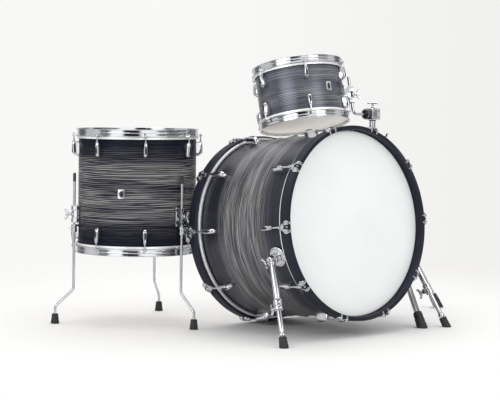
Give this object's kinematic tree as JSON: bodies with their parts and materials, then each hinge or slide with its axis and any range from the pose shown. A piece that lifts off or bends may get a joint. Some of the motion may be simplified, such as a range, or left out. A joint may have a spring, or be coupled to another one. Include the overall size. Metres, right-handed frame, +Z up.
{
  "type": "acoustic drum kit",
  "caption": "Acoustic drum kit of a wide bass drum on spurs, a floor tom on bent legs and a rack tom held over the bass drum by a folding tripod stand.",
  "frame": {"origin": "middle of the kit's footprint, on the floor", "axes": "+Z up; -Y is the audience side, where the bass drum's front head faces; +X is the side of the tom stand"},
  "size_m": [1.4242, 1.005, 0.9334],
  "materials": {
    "wrap": "satin oyster wrap over plies",
    "hoop_wrap": "satin wrap over maple",
    "chrome": "polished",
    "coated_head": "coated film",
    "clear_head": "hazy film",
    "rubber": "moulded"
  },
  "bodies": {
    "kit": {"bass_batter_head": "coated_head", "bass_batter_hoop": "hoop_wrap", "bass_front_head": "coated_head", "bass_front_hoop": "hoop_wrap", "bass_shell": "wrap", "floor_tom_batter_head": "coated_head", "floor_tom_batter_hoop": "chrome", "floor_tom_resonant_head": "clear_head", "floor_tom_resonant_hoop": "chrome", "floor_tom_shell": "wrap", "spur_left_bracket": "chrome", "spur_right_bracket": "chrome", "floor_leg_1_bracket": "chrome", "floor_leg_2_bracket": "chrome", "floor_leg_3_bracket": "chrome", "stand_base_tube": "chrome", "stand_lower_collar": "chrome"},
    "spur_left": {"spur_left_tube": "chrome"},
    "spur_left_inner": {"spur_left_leg": "chrome", "spur_left_foot": "rubber"},
    "spur_left_hinge_screw": {"spur_left_hinge_wing": "chrome"},
    "spur_left_leg_screw": {"spur_left_leg_wing": "chrome"},
    "spur_right": {"spur_right_tube": "chrome"},
    "spur_right_inner": {"spur_right_leg": "chrome", "spur_right_foot": "rubber"},
    "spur_right_hinge_screw": {"spur_right_hinge_wing": "chrome"},
    "spur_right_leg_screw": {"spur_right_leg_wing": "chrome"},
    "floor_leg_1_slider": {"floor_leg_1": "chrome", "floor_leg_1_foot": "rubber"},
    "floor_leg_1_screw": {"floor_leg_1_wing": "chrome"},
    "floor_leg_2_slider": {"floor_leg_2": "chrome", "floor_leg_2_foot": "rubber"},
    "floor_leg_2_screw": {"floor_leg_2_wing": "chrome"},
    "floor_leg_3_slider": {"floor_leg_3": "chrome", "floor_leg_3_foot": "rubber"},
    "floor_leg_3_screw": {"floor_leg_3_wing": "chrome"},
    "stand_collar": {"stand_upper_collar": "chrome"},
    "stand_collar_screw": {"stand_collar_wing": "chrome"},
    "stand_leg_1_body": {"stand_leg_1": "chrome", "stand_leg_1_boot": "rubber"},
    "stand_strut_1_body": {"stand_strut_1": "chrome"},
    "stand_leg_2_body": {"stand_leg_2": "chrome", "stand_leg_2_boot": "rubber"},
    "stand_strut_2_body": {"stand_strut_2": "chrome"},
    "stand_leg_3_body": {"stand_leg_3": "chrome", "stand_leg_3_boot": "rubber"},
    "stand_strut_3_body": {"stand_strut_3": "chrome"},
    "stand_mast": {"stand_upper_tube": "chrome"},
    "stand_height_screw": {"stand_height_wing": "chrome"},
    "holder": {"stand_holder": "chrome"},
    "holder_screw": {"stand_holder_wing": "chrome"},
    "tom_arm": {"tom_l_rod": "chrome"},
    "rack_tom": {"rack_tom_batter_head": "coated_head", "rack_tom_batter_hoop": "chrome", "rack_tom_resonant_head": "clear_head", "rack_tom_resonant_hoop": "chrome", "rack_tom_shell": "wrap", "tom_bracket": "chrome"},
    "tom_bracket_screw": {"tom_bracket_wing": "chrome"}
  },
  "joints": [
    {"name": "spur_left_fold", "type": "hinge", "parent": "kit", "child": "spur_left", "pos_m": [-0.36384, -0.35872, 0.27026], "axis": [-0.9532, -0.0313, -0.3007], "range_deg": [-110, 0]},
    {"name": "spur_left_extend", "type": "slide", "parent": "spur_left", "child": "spur_left_inner", "axis": [-0.2107, -0.4307, -0.8776], "range_m": [-0.03, 0.05]},
    {"name": "spur_left_hinge_screw_turn", "type": "hinge", "parent": "spur_left", "child": "spur_left_hinge_screw", "pos_m": [-0.40702, -0.36014, 0.25663], "axis": [-0.9532, -0.0313, -0.3007], "range_deg": [0, 180]},
    {"name": "spur_left_leg_screw_turn", "type": "hinge", "parent": "spur_left", "child": "spur_left_leg_screw", "pos_m": [-0.42378, -0.40709, 0.1147], "axis": [0.1162, 0.8803, -0.46], "range_deg": [0, 180]},
    {"name": "spur_right_fold", "type": "hinge", "parent": "kit", "child": "spur_right", "pos_m": [0.21723, -0.35872, 0.27026], "axis": [0.9532, -0.0313, -0.3007], "range_deg": [0, 25]},
    {"name": "spur_right_extend", "type": "slide", "parent": "spur_right", "child": "spur_right_inner", "axis": [0.2107, -0.4307, -0.8776], "range_m": [-0.03, 0.05]},
    {"name": "spur_right_hinge_screw_turn", "type": "hinge", "parent": "spur_right", "child": "spur_right_hinge_screw", "pos_m": [0.2604, -0.36014, 0.25663], "axis": [0.9532, -0.0313, -0.3007], "range_deg": [0, 180]},
    {"name": "spur_right_leg_screw_turn", "type": "hinge", "parent": "spur_right", "child": "spur_right_leg_screw", "pos_m": [0.27716, -0.40709, 0.1147], "axis": [-0.1162, 0.8803, -0.46], "range_deg": [0, 180]},
    {"name": "floor_leg_1_extend", "type": "slide", "parent": "kit", "child": "floor_leg_1_slider", "axis": [0, 0, -1], "range_m": [0, 0.035]},
    {"name": "floor_leg_1_screw_turn", "type": "hinge", "parent": "kit", "child": "floor_leg_1_screw", "pos_m": [-0.25076, 0.41357, 0.3736], "axis": [0.8192, 0.5736, 0], "range_deg": [0, 180]},
    {"name": "floor_leg_2_extend", "type": "slide", "parent": "kit", "child": "floor_leg_2_slider", "axis": [0, 0, -1], "range_m": [0, 0.035]},
    {"name": "floor_leg_2_screw_turn", "type": "hinge", "parent": "kit", "child": "floor_leg_2_screw", "pos_m": [-0.65003, 0.37864, 0.3736], "axis": [-0.9063, 0.4226, 0], "range_deg": [0, 180]},
    {"name": "floor_leg_3_extend", "type": "slide", "parent": "kit", "child": "floor_leg_3_slider", "axis": [0, 0, -1], "range_m": [0, 0.035]},
    {"name": "floor_leg_3_screw_turn", "type": "hinge", "parent": "kit", "child": "floor_leg_3_screw", "pos_m": [-0.42014, 0.05033, 0.3736], "axis": [0.0872, -0.9962, 0], "range_deg": [0, 180]},
    {"name": "stand_collar_rise", "type": "slide", "parent": "kit", "child": "stand_collar", "axis": [0, 0, 1], "range_m": [0, 0.07667]},
    {"name": "stand_collar_screw_turn", "type": "hinge", "parent": "stand_collar", "child": "stand_collar_screw", "pos_m": [0.34506, -0.1271, 0.45], "axis": [0.5878, -0.809, 0], "range_deg": [0, 180]},
    {"name": "stand_leg_1_fold", "type": "hinge", "parent": "stand_collar", "child": "stand_leg_1_body", "pos_m": [0.32042, -0.13394, 0.45], "axis": [0.9563, -0.2924, 0], "range_deg": [0, 30]},
    {"name": "stand_strut_1_fold", "type": "hinge", "parent": "stand_leg_1_body", "child": "stand_strut_1_body", "pos_m": [0.28557, -0.24793, 0.2894], "axis": [0.9563, -0.2924, 0], "range_deg": [-60, 0]},
    {"name": "stand_leg_2_fold", "type": "hinge", "parent": "stand_collar", "child": "stand_leg_2_body", "pos_m": [0.35919, -0.10578, 0.45], "axis": [0.0175, 0.9998, 0], "range_deg": [0, 30]},
    {"name": "stand_strut_2_fold", "type": "hinge", "parent": "stand_leg_2_body", "child": "stand_strut_2_body", "pos_m": [0.47837, -0.10786, 0.2894], "axis": [0.0175, 0.9998, 0], "range_deg": [-60, 0]},
    {"name": "stand_leg_3_fold", "type": "hinge", "parent": "stand_collar", "child": "stand_leg_3_body", "pos_m": [0.31795, -0.07744, 0.45], "axis": [-0.9272, -0.3746, 0], "range_deg": [0, 30]},
    {"name": "stand_strut_3_fold", "type": "hinge", "parent": "stand_leg_3_body", "child": "stand_strut_3_body", "pos_m": [0.2733, 0.03308, 0.2894], "axis": [-0.9272, -0.3746, 0], "range_deg": [-60, 0]},
    {"name": "stand_height", "type": "slide", "parent": "kit", "child": "stand_mast", "axis": [0, 0, 1], "range_m": [0, 0.2]},
    {"name": "stand_height_screw_turn", "type": "hinge", "parent": "kit", "child": "stand_height_screw", "pos_m": [0.35595, -0.12934, 0.63804], "axis": [0.7431, -0.6691, 0], "range_deg": [0, 180]},
    {"name": "holder_swivel", "type": "hinge", "parent": "stand_mast", "child": "holder", "pos_m": [0.32919, -0.10525, 0.72404], "axis": [0, 0, 1], "range_deg": [-70, 10]},
    {"name": "holder_screw_turn", "type": "hinge", "parent": "holder", "child": "holder_screw", "pos_m": [0.32919, -0.10525, 0.74604], "axis": [0, 0, 1], "range_deg": [0, 180]},
    {"name": "tom_tilt", "type": "hinge", "parent": "holder", "child": "tom_arm", "pos_m": [0.32919, -0.10525, 0.72404], "axis": [-1, 0, 0], "range_deg": [-30, 2]},
    {"name": "tom_turn", "type": "hinge", "parent": "tom_arm", "child": "rack_tom", "pos_m": [0.23089, -0.10525, 0.72404], "axis": [0.0366, 0.2401, 0.9701], "range_deg": [-45, 60]},
    {"name": "tom_bracket_screw_turn", "type": "hinge", "parent": "rack_tom", "child": "tom_bracket_screw", "pos_m": [0.24388, -0.09412, 0.79399], "axis": [0.8654, -0.493, 0.0893], "range_deg": [0, 180]}
  ],
  "couplings": [
    {"joint": "stand_strut_1_fold", "follows": "stand_leg_1_fold", "ratio": -2},
    {"joint": "stand_leg_2_fold", "follows": "stand_leg_1_fold", "ratio": 1},
    {"joint": "stand_strut_2_fold", "follows": "stand_leg_1_fold", "ratio": -2},
    {"joint": "stand_leg_3_fold", "follows": "stand_leg_1_fold", "ratio": 1},
    {"joint": "stand_strut_3_fold", "follows": "stand_leg_1_fold", "ratio": -2},
    {"joint": "stand_collar_rise", "follows": "stand_leg_1_fold", "m_per_rad": 0.14547}
  ]
}
